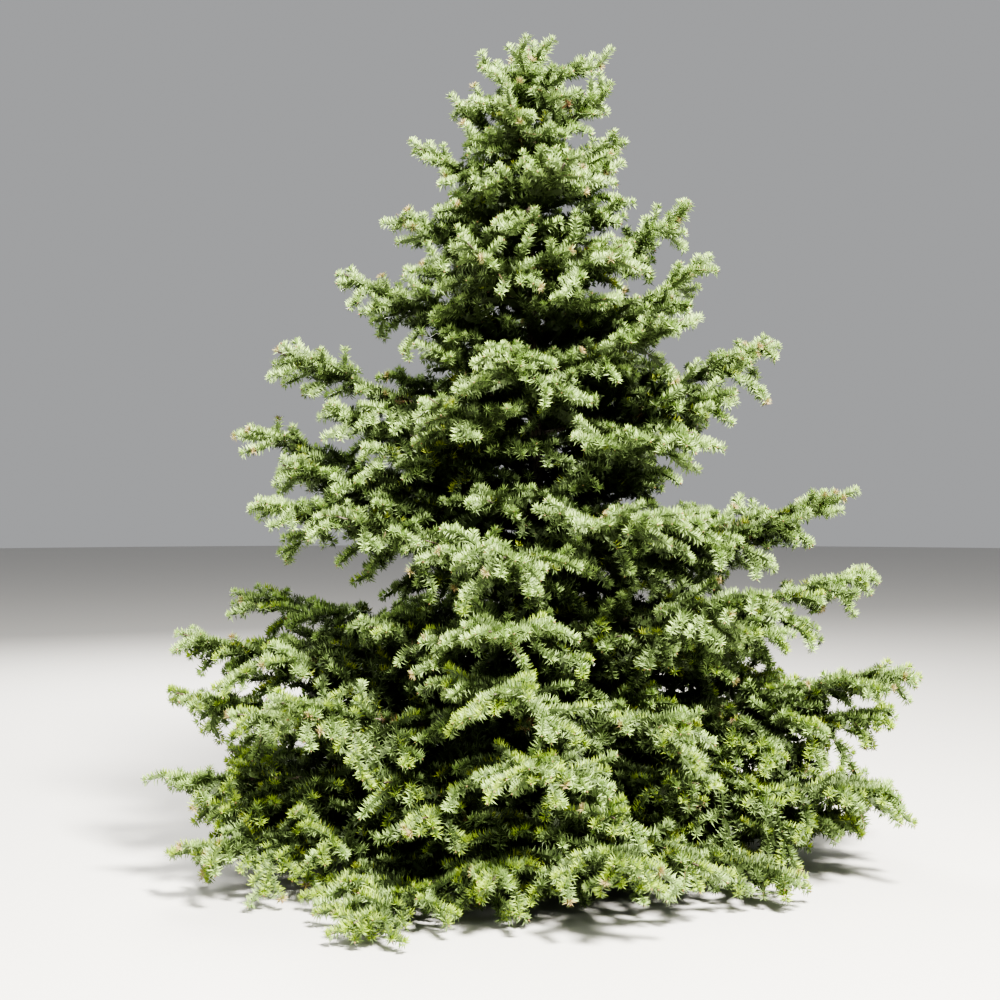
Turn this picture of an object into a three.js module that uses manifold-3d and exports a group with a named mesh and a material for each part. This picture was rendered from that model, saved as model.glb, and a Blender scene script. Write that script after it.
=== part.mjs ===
// A young white spruce, rooted in open ground, about 3.6 m tall and 3.3 m broad at its skirt.
// The trunk runs whole from a flat cut at ground level to the foot of the leading shoot.
// Whorls of boughs leave it and rise or sag to their tips. Each bough carries one mass of
// foliage: a stem with side twigs, each ending in a toothed blade that stands for a spray.
// Millimetres, +Z up. The origin is the centre of the flat cut, and -Y faces the viewer.
import * as THREE from "three";
import { mergeVertices } from "three/addons/utils/BufferGeometryUtils.js";
import Module from "manifold-3d";

const wasm = await Module();
wasm.setup();

// Trunk. The lean is how far its top stands aside from its foot.
const TRUNK_TOP = 3180;
const TRUNK_LEAN = { x: -62, y: 26 };
const TRUNK_RADIUS = { foot: 54, tip: 7 };
const TRUNK_TAPER = 0.85;
const ROOT_FLARE = { grows: 34, height: 95, lobes: 5, lobeShare: 0.28 };
const TRUNK_SIDES = 10;
const TRUNK_STATIONS = 13;
// Above 1, the stations stand closer together near the ground, where the roots flare.
const STATION_CROWDING = 1.9;

// Leading shoot, standing on the trunk's top.
const LEADER_HEIGHT = 390;
const LEADER_LEAN = 0.03;
const LEADER_RADIUS = { foot: 8, tip: 5 };
// Each of its sprays: share of the way up the shoot, azimuth, lift in degrees and length.
const LEADER_SPRAYS = [
  [0.62, 10, 62, 240],
  [0.72, 190, 80, 160],
  [0.5, 150, 44, 240],
  [0.45, 352, 26, 380],
  [0.4, 190, 34, 330],
  [0.45, 262, 38, 290],
  [0.4, 75, 36, 290],
  [0.12, 25, 26, 380],
  [0.1, 155, 28, 330],
  [0.08, 222, 20, 320],
  [0.12, 300, 20, 320],
  [0.1, 95, 24, 320],
];
const LEADER_ROLL = 15;

// Whorls of boughs, from under the leading shoot down to the skirt.
// Each bough: height where it leaves the trunk, azimuth in degrees (0 is +X, 270 faces the
// viewer), reach of its tip from the trunk's axis, and height of its tip.
const WHORLS = {
  upper: [
    [3100, 168, 330, 3350],
    [3120, 345, 390, 3380],
    [3060, 258, 330, 3240],
    [3040, 80, 350, 3280],
  ],
  shoulder: [
    [2880, 185, 500, 3120],
    [2920, 5, 430, 3180],
    [2820, 288, 470, 2970],
    [2800, 108, 500, 3020],
  ],
  high: [
    [2550, 190, 620, 2820],
    [2420, 352, 730, 2860],
    [2475, 306, 640, 2620],
    [2450, 244, 640, 2620],
    [2500, 92, 680, 2780],
  ],
  mid_high: [
    [2220, 178, 870, 2580],
    [2180, 2, 800, 2640],
    [2020, 262, 820, 2170],
    [2100, 322, 800, 2320],
    [2150, 96, 880, 2440],
  ],
  middle: [
    [1860, 180, 1180, 2230],
    [1840, 5, 1110, 2290],
    [1700, 312, 950, 1840],
    [1850, 62, 1050, 2150],
    [1800, 125, 1100, 2100],
    [1780, 236, 820, 1980],
  ],
  waist: [
    [1520, 180, 1320, 1890],
    [1350, 204, 1300, 1570],
    [1350, 0, 1370, 1560],
    [1320, 262, 1120, 1350],
    [1395, 292, 1120, 1500],
    [1450, 112, 1300, 1740],
    [1350, 48, 1300, 1520],
  ],
  belly: [
    [950, 172, 1420, 1140],
    [850, 4, 1550, 1270],
    [1030, 260, 1250, 1080],
    [1000, 318, 1200, 1200],
    [980, 82, 1380, 1240],
  ],
  hip: [
    [650, 190, 1600, 1000],
    [550, 225, 1470, 800],
    [800, 262, 1420, 870],
    [680, 294, 1350, 740],
    [550, 354, 1660, 840],
    [700, 134, 1520, 970],
    [620, 42, 1520, 840],
  ],
  low: [
    [420, 204, 1690, 440],
    [500, 268, 1550, 630],
    [360, 336, 1620, 390],
    [400, 100, 1580, 490],
  ],
  skirt: [
    [240, 214, 1720, 220],
    [165, 246, 1740, 90],
    [250, 279, 1650, 320],
    [200, 312, 1450, 130],
    [220, 30, 1560, 230],
    [220, 150, 1600, 230],
  ],
};
// These boughs show bare limb between the trunk and their foliage.
const WITH_LIMB = ["hip_2", "hip_4", "hip_5", "hip_6", "hip_7"];

// Boughs. The lengths below are shares of a bough's reach.
const BOUGH_SAG = 0.04;
const BOUGH_RISE_AT_HALF = 0.42;
const BOUGH_RADIUS = { share: 1 / 95, least: 7, tip: 5 };
const BARE_SHARE = { long: 0.22, short: 0.1 };
const LONG_FROM = 1000;
const LIMB_SIDES = 5;
const LIMB_STATIONS = 3;
const STEM_END = 0.93;
const STEM_SIDES = 4;
const STEM_STATIONS = { long: 5, short: 3, longFrom: 700 };
// Turned so that flat faces, not corners, meet the side twigs.
const STEM_TURN = Math.PI / STEM_SIDES;

// Side twigs, in pairs along the foliage. Angles are in degrees, from the bough's own way,
// above the level and round the twig. Reach is a share of the foliage's length.
const GROWN_UP_REACH = 1500;
const PAIR_SPACING = { short: 175, long: 250 };
const PAIRS = { least: 3, most: 5 };
const PAIR_START = 0.42;
const PAIR_STAGGER = 0.4;
const PAIR_END = 0.25;
const SIDE_REACH = { short: 0.85, long: 0.48, least: 110, spread: 0.1 };
const SIDE_ANGLE = { inner: 66, outer: 46, spread: 5 };
const SIDE_LIFT = { skirt: -20, crest: 8, spread: 30 };
const STEEPEST_SINE = 0.5;
const SIDE_ROLL = 45;
const TIP_SPRAY = { share: 0.3, least: 190, most: 360, roll: 40 };
// A spray with no room at its full length is tried at these shares of it, then left out.
const SHRINKS = [1, 0.84, 0.7, 0.56];

// Blades and their twigs, as shares of the spray's length. Each tooth is a notch and a point.
const BLADE_THICK = { above: 0.11, below: 0.05 };
const BLADE_ARCH = 0.12;
const BLADE_FOLD = 0.32;
const ONE_TOOTH = { centre: 0.4, side: [[0.62, 0.13], [0.58, 0.35]] };
const TWO_TEETH = { centre: 0.42, side: [[0.74, 0.1], [0.8, 0.31], [0.48, 0.16], [0.45, 0.35]] };
const TWO_TEETH_FROM = 335;
const TOOTH_SPREAD = 0.12;
const ROOT_SUNK = 5;
const TWIG_FROM = 480;
const TWIG = { radius: 0.016, tipRadius: 1, reach: 0.5 };

// Room between pieces, and how far small steps on a fused mass are smoothed away.
const TOUCH_GAP = 0.3;
const CLEAR_GAP = 6;
const GROUND_GAP = 4;
const GROUND_LIFT = 0.24;
const SMOOTHING = 3;
const SLIVER = 0.08;

const NEEDLE_GREEN = 0x8fa584;
const BARK_BROWN = 0x6f5f50;

const UP = new THREE.Vector3(0, 0, 1);
const ACROSS = new THREE.Vector3(1, 0, 0);
const radians = THREE.MathUtils.degToRad;
const mix = THREE.MathUtils.lerp;
const clamp = THREE.MathUtils.clamp;

// A number from -1 to 1 that three whole numbers always give alike.
function sway(a, b, c) {
  const wave = Math.sin(a * 12.9898 + b * 78.233 + c * 37.719) * 4375.8545;
  return 2 * (wave - Math.floor(wave)) - 1;
}

function wayOf(azimuth, lift = 0) {
  return new THREE.Vector3(Math.cos(radians(azimuth)), Math.sin(radians(azimuth)), 0)
    .multiplyScalar(Math.cos(radians(lift)))
    .addScaledVector(UP, Math.sin(radians(lift)));
}

function solidOf(geometry) {
  geometry.deleteAttribute("normal");
  geometry.deleteAttribute("uv");
  const merged = mergeVertices(geometry, 1e-4);
  const solid = new wasm.Manifold(
    new wasm.Mesh({
      numProp: 3,
      vertProperties: new Float32Array(merged.attributes.position.array),
      triVerts: new Uint32Array(merged.index.array),
    }),
  );
  if (solid.volume() <= 0) throw new Error("a solid is inside out");
  return solid;
}

function geometryOf(solid) {
  const mesh = solid.getMesh();
  return new THREE.BufferGeometry()
    .setAttribute("position", new THREE.BufferAttribute(mesh.vertProperties, 3))
    .setIndex(new THREE.BufferAttribute(mesh.triVerts, 1));
}

// Fusing can seal a hollow or leave loose scrap: the outer skin of the largest body stays.
function wholeBody(solid) {
  const bodies = solid.decompose();
  return bodies.reduce((best, body) => (body.volume() > best.volume() ? body : best));
}

function tidied(solid) {
  return wholeBody(solid.asOriginal().simplify(SLIVER));
}

function tangentOf(path, t) {
  const step = 0.01;
  return path(Math.min(1, t + step)).sub(path(Math.max(0, t - step))).normalize();
}

// A closed tube with flat ends along a path, with its own radius at each place. Its sections
// stand square to the path, or lie level.
function tube(path, radius, sides, stations, { turn = 0, level = false } = {}) {
  const geometry = new THREE.CylinderGeometry(1, 1, 1, sides, stations);
  const position = geometry.getAttribute("position");
  const place = new THREE.Vector3();
  for (let i = 0; i < position.count; i++) {
    place.fromBufferAttribute(position, i);
    const t = place.y + 0.5;
    const along = level ? UP : tangentOf(path, t);
    const side = along.clone().cross(Math.abs(along.z) < 0.9 ? UP : ACROSS).normalize();
    side.applyAxisAngle(along, turn);
    const other = side.clone().cross(along);
    const reach = radius(t, Math.atan2(place.z, place.x));
    const at = path(t);
    at.addScaledVector(side, place.x * reach);
    at.addScaledVector(other, place.z * reach);
    position.setXYZ(i, at.x, at.y, at.z);
  }
  return solidOf(geometry);
}

function trunkAxis(height) {
  const share = height / TRUNK_TOP;
  return new THREE.Vector3(TRUNK_LEAN.x * share * share, TRUNK_LEAN.y * share, height);
}

function trunkRadius(height) {
  const { foot, tip } = TRUNK_RADIUS;
  return mix(tip, foot, Math.pow(1 - Math.min(1, height / TRUNK_TOP), TRUNK_TAPER));
}

function makeTrunk(extra) {
  const heightAt = (t) => TRUNK_TOP * Math.pow(t, STATION_CROWDING);
  const radius = (t, angle) => {
    const height = heightAt(t);
    const lobe = 1 + ROOT_FLARE.lobeShare * Math.cos(ROOT_FLARE.lobes * angle);
    const flare = ROOT_FLARE.grows * lobe * Math.exp(-height / ROOT_FLARE.height);
    return trunkRadius(height) + flare + extra;
  };
  return tube(
    (t) => trunkAxis(heightAt(t)), radius, TRUNK_SIDES, TRUNK_STATIONS, { level: true });
}

// A bough's line from the trunk's axis to its tip.
function boughPath([attach, azimuth, reach, tip]) {
  const out = wayOf(azimuth);
  const foot = trunkAxis(attach);
  const bend = foot.clone().addScaledVector(out, reach / 2);
  bend.z += (tip - attach) * BOUGH_RISE_AT_HALF - reach * BOUGH_SAG;
  const end = foot.clone().addScaledVector(out, reach).setZ(tip);
  const curve = new THREE.QuadraticBezierCurve3(foot, bend, end);
  return (t) => curve.getPoint(t);
}

function boughRadius(reach, t) {
  return mix(Math.max(BOUGH_RADIUS.least, reach * BOUGH_RADIUS.share), BOUGH_RADIUS.tip, t);
}

// A blade's outline from its tip, down one side to its root and up the other.
function toothedOutline(teeth, seed) {
  const side = (sign) => teeth.side.map(([along, out], i) => {
    const spread = 1 + TOOTH_SPREAD * sway(seed, i, sign + 3);
    return [along, sign * out * spread];
  });
  return [[1, 0], ...side(1), [0, 0], ...side(-1).reverse()];
}

// A toothed blade: a two-sided fan over its outline, thickest at its centre, arched along
// its length and folded down from its midrib.
function blade(root, along, across, length, seed) {
  const teeth = length >= TWO_TEETH_FROM ? TWO_TEETH : ONE_TOOTH;
  const outline = toothedOutline(teeth, seed);
  const normal = along.clone().cross(across);
  const geometry = new THREE.SphereGeometry(1, outline.length, 2);
  const position = geometry.getAttribute("position");
  const place = new THREE.Vector3();
  for (let i = 0; i < position.count; i++) {
    place.fromBufferAttribute(position, i);
    const pole = Math.abs(place.y) > 0.5;
    const turn = Math.atan2(place.z, -place.x) / (2 * Math.PI);
    const index = (Math.round(turn * outline.length) + outline.length) % outline.length;
    const [x, y] = pole ? [teeth.centre, 0] : outline[index];
    const halfThick = place.y > 0 ? BLADE_THICK.above : -BLADE_THICK.below;
    const z = (pole ? halfThick : 0) - BLADE_ARCH * x * x - BLADE_FOLD * Math.abs(y);
    const at = root.clone();
    at.addScaledVector(along, x * length);
    at.addScaledVector(across, y * length);
    at.addScaledVector(normal, z * length);
    position.setXYZ(i, at.x, at.y, at.z);
  }
  return solidOf(geometry);
}

// A blade on its twig. A long one has a three-sided twig fused in, and a short one's root is
// sunk straight into the stem.
function spray({ root, along, roll, seed }, length) {
  const across = UP.clone().cross(along).normalize().applyAxisAngle(along, radians(roll));
  const sunk = root.clone().addScaledVector(along, -ROOT_SUNK);
  const leaf = blade(sunk, along, across, length, seed);
  if (length < TWIG_FROM) return leaf;
  const path = (t) => root.clone().addScaledVector(along, t * length * TWIG.reach);
  const twig = tube(path, (t) => mix(length * TWIG.radius, TWIG.tipRadius, t), 3, 1);
  return wasm.Manifold.union([leaf, twig]);
}

// Everything already standing, to keep each mass to its own space.
const standing = [];

function stand(owner, solid) {
  standing.push({ owner, solid, box: solid.boundingBox() });
}

function boxesMeet(a, b) {
  const apart = (k) => a.min[k] - CLEAR_GAP > b.max[k] || b.min[k] - CLEAR_GAP > a.max[k];
  return ![0, 1, 2].some(apart);
}

function isClear(solid, ...owners) {
  const box = solid.boundingBox();
  if (box.min[2] < GROUND_GAP) return false;
  return standing.every((other) =>
    owners.includes(other.owner)
    || !boxesMeet(box, other.box)
    || other.solid.minGap(solid, CLEAR_GAP * 2) >= CLEAR_GAP);
}

// Adds a spray to a bough at the longest share of its length that has room.
function grow(bough, twig) {
  for (const share of SHRINKS) {
    const solid = spray(twig, twig.length * share);
    if (!isClear(solid, bough.name)) continue;
    bough.parts.push(solid);
    stand(bough.name, solid);
    return;
  }
}

// How long a side twig is at share u of the foliage, from its inner end to the bough's tip.
function sideShape(u) {
  return (0.7 + 0.3 * Math.min(1, u / 0.2)) * Math.pow(1 - u, 0.55);
}

// One side twig of a bough: where it leaves the stem, its way, roll and length.
function sideTwig(bough, pairs, k, sign) {
  const { path, reach, bare, attach, number } = bough;
  const grown = reach * (1 - bare);
  const size = Math.min(1, reach / GROWN_UP_REACH);
  const u = (k + PAIR_START + (sign > 0 ? 0 : PAIR_STAGGER)) / (pairs + PAIR_END);
  const t = mix(bare, 1, u);
  const root = path(t);
  const longest = grown * mix(SIDE_REACH.short, SIDE_REACH.long, size);
  const spread = 1 + SIDE_REACH.spread * sway(number, k, sign + 13);
  const length = Math.max(SIDE_REACH.least, longest * sideShape(u)) * spread;
  const level = mix(SIDE_LIFT.skirt, SIDE_LIFT.crest, attach / TRUNK_TOP);
  const hang = Math.sin(radians(level + SIDE_LIFT.spread * sway(number, k, sign + 7)));
  // Near the ground a twig lies along it instead of hanging into it.
  const lowest = (GROUND_GAP - root.z) / length + GROUND_LIFT;
  const lift = Math.asin(Math.min(STEEPEST_SINE, Math.max(hang, lowest)));
  const opens = mix(SIDE_ANGLE.inner, SIDE_ANGLE.outer, u) + SIDE_ANGLE.spread * sway(number, k, sign);
  const forward = tangentOf(path, t).setZ(0).normalize();
  const along = forward.applyAxisAngle(UP, radians(sign * opens));
  along.multiplyScalar(Math.cos(lift)).addScaledVector(UP, Math.sin(lift));
  const roll = SIDE_ROLL * sway(number, k, sign + 19);
  return { root, along, roll, length, seed: number * 31 + k * 2 + sign };
}

function sideTwigs(bough) {
  const spacing = mix(
    PAIR_SPACING.short, PAIR_SPACING.long, Math.min(1, bough.reach / GROWN_UP_REACH));
  const fitting = Math.round((bough.reach * (1 - bough.bare)) / spacing);
  const pairs = clamp(fitting, PAIRS.least, PAIRS.most);
  return Array.from({ length: pairs }, (_, k) => [
    sideTwig(bough, pairs, k, 1),
    sideTwig(bough, pairs, k, -1),
  ]).flat();
}

function tipTwig({ path, reach, number }) {
  const length = clamp(reach * TIP_SPRAY.share, TIP_SPRAY.least, TIP_SPRAY.most);
  const along = tangentOf(path, 1);
  const root = path(1).addScaledVector(along, -length);
  return { root, along, roll: TIP_SPRAY.roll * sway(number, 50, 1), length, seed: number * 31 + 29 };
}

const trunk = makeTrunk(0);
const trunkRoom = makeTrunk(TOUCH_GAP);
stand("trunk", trunk);

const boughs = Object.entries(WHORLS).flatMap(([whorl, rows]) => rows.map((row, i) => {
  const [attach, , reach] = row;
  const name = `${whorl}_${i + 1}`;
  const bare = reach >= LONG_FROM ? BARE_SHARE.long : BARE_SHARE.short;
  return { name, attach, reach, bare, path: boughPath(row), hasLimb: WITH_LIMB.includes(name) };
}));

// Limbs and stems stand before any side twig, so that twigs give way to them.
boughs.forEach((bough, i) => {
  const { path, reach, bare, name, hasLimb } = bough;
  bough.number = i + 1;
  if (hasLimb) {
    const limb = tube(
      (t) => path(t * bare), (t) => boughRadius(reach, t * bare), LIMB_SIDES, LIMB_STATIONS);
    bough.limb = tidied(limb.subtract(trunkRoom));
    stand(`${name}_limb`, bough.limb);
  }
  const start = hasLimb ? bare : 0;
  const share = (t) => mix(start, STEM_END, t);
  const stations = reach > STEM_STATIONS.longFrom ? STEM_STATIONS.long : STEM_STATIONS.short;
  const stem = tube(
    (t) => path(share(t)), (t) => boughRadius(reach, share(t)), STEM_SIDES, stations,
    { turn: STEM_TURN });
  bough.parts = [hasLimb ? stem : stem.subtract(trunkRoom)];
  if (!isClear(bough.parts[0], name, hasLimb ? `${name}_limb` : "trunk")) {
    throw new Error(`${name} meets another bough`);
  }
  stand(name, bough.parts[0]);
});

// The tips come first, because they make the outline.
boughs.forEach((bough) => grow(bough, tipTwig(bough)));
boughs.forEach((bough) => sideTwigs(bough).forEach((twig) => grow(bough, twig)));

const leaderFoot = trunkAxis(TRUNK_TOP).addScaledVector(UP, TOUCH_GAP);
const leaderWay = new THREE.Vector3(LEADER_LEAN, 0, 1);
const leaderPath = (t) => leaderFoot.clone().addScaledVector(leaderWay, t * LEADER_HEIGHT);
const leaderStem = tube(
  leaderPath, (t) => mix(LEADER_RADIUS.foot, LEADER_RADIUS.tip, t), STEM_SIDES, 1);
const leader = { name: "leader", parts: [leaderStem] };
stand(leader.name, leaderStem);
LEADER_SPRAYS.forEach(([share, azimuth, lift, length], i) => grow(leader, {
  root: leaderPath(share),
  along: wayOf(azimuth, lift),
  roll: LEADER_ROLL * sway(0, i, 2),
  length,
  seed: i + 3,
}));

// A mass fused from its parts, with its inner end kept clear of what carries it.
function massOf(bough) {
  const fused = wholeBody(wasm.Manifold.union(bough.parts)).asOriginal().simplify(SMOOTHING);
  if (!bough.limb) return tidied(fused.subtract(trunkRoom));
  const facing = tangentOf(bough.path, bough.bare);
  const from = bough.path(bough.bare).addScaledVector(facing, TOUCH_GAP);
  return tidied(fused.trimByPlane(facing.toArray(), from.dot(facing)));
}

const spruce = new THREE.Group();
spruce.name = "white_spruce";

function addNode(name, solid, color, roughness) {
  const material = new THREE.MeshStandardMaterial({ color, roughness, metalness: 0 });
  const mesh = new THREE.Mesh(geometryOf(solid), material);
  mesh.name = name;
  spruce.add(mesh);
}

addNode("trunk", trunk, BARK_BROWN, 0.9);
for (const bough of [leader, ...boughs]) {
  if (bough.limb) addNode(`bough_${bough.name}`, bough.limb, BARK_BROWN, 0.9);
  addNode(`foliage_${bough.name}`, massOf(bough), NEEDLE_GREEN, 0.7);
}

export default spruce;
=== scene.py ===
"""A young white spruce: bark, twigs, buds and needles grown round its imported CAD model.

The trunk and boughs get a mesh with the bark's relief. Each foliage mass is replaced by twigs
that branch by the same rule as the solids and are carried on to needled shoots.
Lengths here are millimetres and become metres as each mesh is made.
"""
import math
from functools import lru_cache

import bpy
import numpy as np
from bpy.props import FloatProperty, FloatVectorProperty, PointerProperty
from bpy.types import Operator, Panel, PropertyGroup
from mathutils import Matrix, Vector, noise


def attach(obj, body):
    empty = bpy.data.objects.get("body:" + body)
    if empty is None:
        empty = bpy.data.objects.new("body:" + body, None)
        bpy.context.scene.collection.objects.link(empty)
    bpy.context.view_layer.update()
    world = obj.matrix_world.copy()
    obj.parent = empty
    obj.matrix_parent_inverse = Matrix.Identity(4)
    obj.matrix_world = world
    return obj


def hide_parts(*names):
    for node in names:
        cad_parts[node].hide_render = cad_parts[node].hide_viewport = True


bl_info = {
    "name": "White Spruce",
    "version": (1, 0, 0),
    "blender": (4, 5, 0),
    "location": "View3D > Sidebar > Spruce",
    "description": "Grows bark, twigs, buds and needles on a young white spruce",
    "category": "Object",
}

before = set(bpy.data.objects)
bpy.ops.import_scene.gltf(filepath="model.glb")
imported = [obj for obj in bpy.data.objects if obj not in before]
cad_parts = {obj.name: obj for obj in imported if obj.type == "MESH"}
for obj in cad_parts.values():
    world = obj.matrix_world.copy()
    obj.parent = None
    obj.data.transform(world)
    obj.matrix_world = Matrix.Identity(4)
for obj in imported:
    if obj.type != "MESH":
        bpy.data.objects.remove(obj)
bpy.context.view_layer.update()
BODY = "root"
MM = 0.001
TINY = 1e-6

# Trunk. The lean is how far its top stands aside from its foot.
TRUNK_TOP = 3180
TRUNK_LEAN = (-62, 26)
TRUNK_FOOT_RADIUS = 54
TRUNK_TIP_RADIUS = 7
TRUNK_TAPER = 0.85
FLARE_GROWS = 34
FLARE_HEIGHT = 95
FLARE_LOBES = 5
FLARE_LOBE_SHARE = 0.28
TRUNK_SIDES = 48
TRUNK_CUTS = (15, 15)
STATION_CROWDING = 1.25

# Bark. Its look: the small plates to the metre, and their stretch. Plates of the relief: how
# often they repeat round the wood, and their length. Swell: its height, how often it repeats
# across, and its length. The trunk's relief fades where it is thin.
TRUNK_BARK = (62, 0.55)
LIMB_BARK = (110, 1.0)
TRUNK_PLATES = (2.6, 34)
TRUNK_SWELL = (1.4, 1.3, 160)
THIN_BELOW = 30
LIMB_PLATES = (1.6, 26)
LIMB_SWELL = (1.2, 60)
LIMB_RELIEF = 0.6
LIMB_RELIEF_FADES = 0.8
PLATE_LEVEL = 0.6
CRACK_WIDTH = 0.25
GRAIN_SHARE = 0.25
GRAIN_FINER = 4

# Leading shoot, standing on the trunk's top.
LEADER_HEIGHT = 390
LEADER_LEAN = 0.03
LEADER_RADIUS = (8, 5)
LEADER_POINTS = (0, 0.34, 0.67, 1)
# Each of its sprays: share of the way up the shoot, azimuth, lift in degrees and length. Four
# of the first ones are a little shorter than their solids, and the last five have none.
LEADER_SPRAYS = (
    (0.62, 10, 62, 200),
    (0.72, 190, 80, 145),
    (0.5, 150, 44, 240),
    (0.45, 352, 26, 380),
    (0.4, 190, 40, 285),
    (0.45, 262, 38, 290),
    (0.4, 75, 36, 290),
    (0.12, 25, 26, 380),
    (0.1, 155, 28, 300),
    (0.08, 222, 20, 320),
    (0.12, 300, 20, 320),
    (0.1, 95, 24, 320),
    (0.28, 60, 32, 290),
    (0.3, 322, 34, 300),
    (0.27, 238, 30, 300),
    (0.56, 100, 48, 230),
    (0.58, 300, 50, 220),
)
LEADER_ROLL = 15

# Whorls of boughs, from under the leading shoot down to the skirt.
# Each bough: height where it leaves the trunk, azimuth in degrees (0 is +X, 270 faces the
# viewer), reach of its tip from the trunk's axis, and height of its tip.
WHORLS = {
    "upper": (
        (3100, 168, 330, 3350), (3120, 345, 390, 3380), (3060, 258, 330, 3240),
        (3040, 80, 350, 3280),
    ),
    "shoulder": (
        (2880, 185, 500, 3120), (2920, 5, 430, 3180), (2820, 288, 470, 2970),
        (2800, 108, 500, 3020),
    ),
    "high": (
        (2550, 190, 620, 2820), (2420, 352, 730, 2860), (2475, 306, 640, 2620),
        (2450, 244, 640, 2620), (2500, 92, 680, 2780),
    ),
    "mid_high": (
        (2220, 178, 870, 2580), (2180, 2, 800, 2640), (2020, 262, 820, 2170),
        (2100, 322, 800, 2320), (2150, 96, 880, 2440),
    ),
    "middle": (
        (1860, 180, 1180, 2230), (1840, 5, 1110, 2290), (1700, 312, 950, 1840),
        (1850, 62, 1050, 2150), (1800, 125, 1100, 2100), (1780, 236, 820, 1980),
    ),
    "waist": (
        (1520, 180, 1320, 1890), (1350, 204, 1300, 1570), (1350, 0, 1370, 1560),
        (1320, 262, 1120, 1350), (1395, 292, 1120, 1500), (1450, 112, 1300, 1740),
        (1350, 48, 1300, 1520),
    ),
    "belly": (
        (950, 172, 1420, 1140), (850, 4, 1550, 1270), (1030, 260, 1250, 1080),
        (1000, 318, 1200, 1200), (980, 82, 1380, 1240),
    ),
    "hip": (
        (650, 190, 1600, 1000), (550, 225, 1470, 800), (800, 262, 1420, 870),
        (680, 294, 1350, 740), (550, 354, 1660, 840), (700, 134, 1520, 970),
        (620, 42, 1520, 840),
    ),
    "low": (
        (420, 204, 1690, 440), (500, 268, 1550, 630), (360, 336, 1620, 390),
        (400, 100, 1580, 490),
    ),
    "skirt": (
        (240, 214, 1720, 220), (165, 246, 1740, 90), (250, 279, 1650, 320),
        (200, 312, 1450, 130), (220, 30, 1560, 230), (220, 150, 1600, 230),
    ),
}
# These boughs show bare limb between the trunk and their foliage.
WITH_LIMB = ("hip_2", "hip_4", "hip_5", "hip_6", "hip_7")

# Younger boughs, which close the crown between the listed ones and have no solid of their
# own: the whorl they belong to, then the same four numbers of each.
YOUNG = (
    ("skirt", (
        (210, 68, 1300, 200), (190, 108, 1250, 160), (230, 345, 1250, 180),
        (230, 182, 1300, 230), (320, 262, 1480, 210), (300, 294, 1400, 220),
        (260, 338, 1450, 240), (290, 200, 1500, 260), (300, 184, 1480, 330),
    )),
    ("low", (
        (430, 30, 1250, 480), (400, 66, 1250, 450), (380, 152, 1250, 470),
        (470, 236, 1150, 470), (450, 302, 1150, 470), (400, 250, 1380, 400),
        (380, 281, 1320, 400), (400, 348, 1540, 350), (340, 210, 1540, 340),
    )),
    ("hip", (
        (620, 88, 1150, 830), (640, 162, 1150, 820), (600, 18, 1200, 760),
        (500, 352, 1560, 660), (560, 2, 1480, 760), (560, 192, 1630, 750),
        (620, 208, 1440, 700),
    )),
    ("belly", (
        (930, 128, 1000, 1090), (940, 40, 1050, 1080), (960, 215, 900, 1040),
        (900, 340, 950, 1000), (960, 294, 800, 1020), (900, 190, 1240, 950),
    )),
    ("waist", (
        (1400, 80, 900, 1560), (1420, 146, 900, 1560), (1300, 233, 800, 1400),
        (1380, 328, 850, 1480), (1500, 250, 640, 1560), (1470, 305, 620, 1530),
        (1440, 193, 1160, 1720), (1320, 217, 1060, 1500), (1320, 350, 1160, 1470),
    )),
    ("middle", (
        (1900, 284, 560, 2010), (1760, 150, 640, 1850), (1780, 200, 600, 1840),
        (1740, 30, 600, 1830), (1760, 190, 960, 1960), (1790, 353, 880, 2060),
    )),
    ("mid_high", (
        (1990, 14, 660, 2150), (1960, 166, 680, 2120), (2060, 214, 560, 2200),
    )),
    ("high", (
        (2320, 22, 540, 2480), (2290, 164, 560, 2430),
    )),
    ("shoulder", (
        (2690, 350, 420, 2880), (2660, 170, 420, 2840),
    )),
    ("belly", (
        (800, 110, 950, 820), (780, 56, 1000, 720),
    )),
    ("low", (
        (420, 170, 1480, 400), (430, 9, 1340, 440),
    )),
)

# Boughs. Their sag and their radius go by the reach, and a collar thickens each foot.
BOUGH_SAG = 0.04
BOUGH_RISE_AT_HALF = 0.42
BOUGH_RADIUS_SHARE = 1 / 95
BOUGH_LEAST_RADIUS = 7
BOUGH_TIP_RADIUS = 3
BARE_SHARE = {"long": 0.22, "short": 0.1}
LONG_FROM = 1000
COLLAR_GROWS = 0.55
COLLAR_LENGTH = 45
LIMB_SIDES = 8
LIMB_CUTS = 27
LIMB_END = 0.97

# Side twigs, in pairs along the foliage, by the rule of the solids.
GROWN_UP_REACH = 1500
PAIR_SPACING = (175, 250)
PAIRS = (3, 5)
PAIR_START = 0.42
PAIR_STAGGER = 0.4
PAIR_END = 0.25
SIDE_REACH = (0.85, 0.48)
SIDE_SHAPE = (0.7, 0.3, 0.2, 0.55)
SIDE_LEAST = 110
SIDE_SPREAD = 0.1
SIDE_OPENS = (66, 46)
SIDE_OPENS_SPREAD = 5
SIDE_LIFT = (-20, 8)
SIDE_LIFT_SPREAD = 30
STEEPEST_SINE = 0.5
SIDE_ROLL = 45
TIP_SHARE = 0.3
TIP_LENGTH = (190, 360)
TIP_ROLL = 40
GROUND_GAP = 4
GROUND_LIFT = 0.24
BLADE_ARCH = 0.12
BLADE_FOLD = 0.32

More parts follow.
